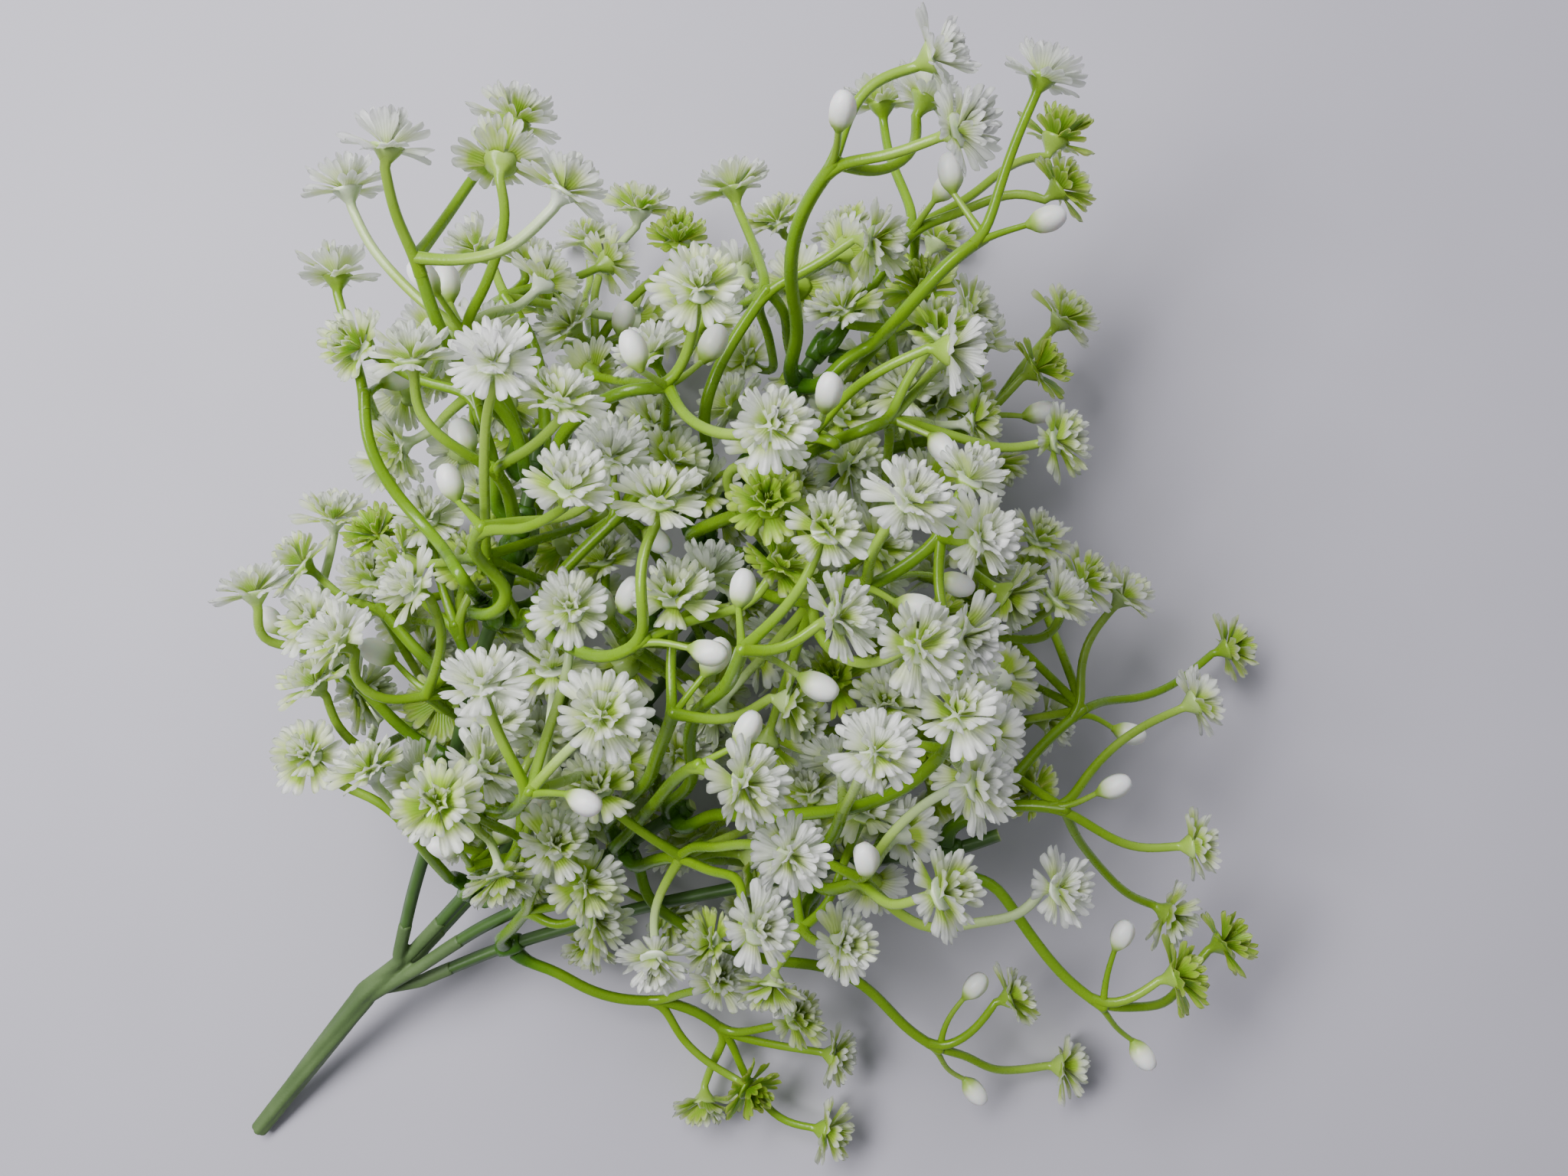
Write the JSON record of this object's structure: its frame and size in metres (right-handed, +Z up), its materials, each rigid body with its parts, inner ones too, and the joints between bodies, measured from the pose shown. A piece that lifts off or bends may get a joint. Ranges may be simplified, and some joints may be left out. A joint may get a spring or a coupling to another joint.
{
  "type": "gypsophila stem",
  "caption": "Artificial gypsophila bush lying on its side: a grip with stems that carry forked sprays of small double flowers and buds, for a vase or an arrangement.",
  "frame": {"origin": "on the surface it lies on, under the middle of its bounding box in plan", "axes": "+Z up from the surface; the grip points to -X and -Y; the bush opens towards +X and +Y; +Y is up the picture"},
  "size_m": [0.2322, 0.2332, 0.1217],
  "materials": {
    "handle_plastic": "matt sage-green moulded plastic",
    "stem_plastic": "dark green moulded plastic with flutes along it",
    "spray_plastic": "yellow-green moulded plastic that pales to white flowers"
  },
  "bodies": {
    "root": {"handle": "handle_plastic", "spray_a1": "spray_plastic", "spray_a2": "spray_plastic", "spray_a3": "spray_plastic", "spray_a4": "spray_plastic", "spray_a5": "spray_plastic", "spray_a6": "spray_plastic", "spray_a7": "spray_plastic", "spray_b1": "spray_plastic", "spray_b2": "spray_plastic", "spray_b3": "spray_plastic", "spray_b4": "spray_plastic", "spray_b5": "spray_plastic", "spray_b6": "spray_plastic", "spray_c1": "spray_plastic", "spray_c2": "spray_plastic", "spray_d1": "spray_plastic", "spray_d2": "spray_plastic", "spray_d3": "spray_plastic", "spray_e1": "spray_plastic", "spray_e2": "spray_plastic", "spray_e3": "spray_plastic", "spray_e4": "spray_plastic", "stem_a": "stem_plastic", "stem_b": "stem_plastic", "stem_c": "stem_plastic", "stem_d": "stem_plastic", "stem_e": "stem_plastic"}
  },
  "joints": []
}
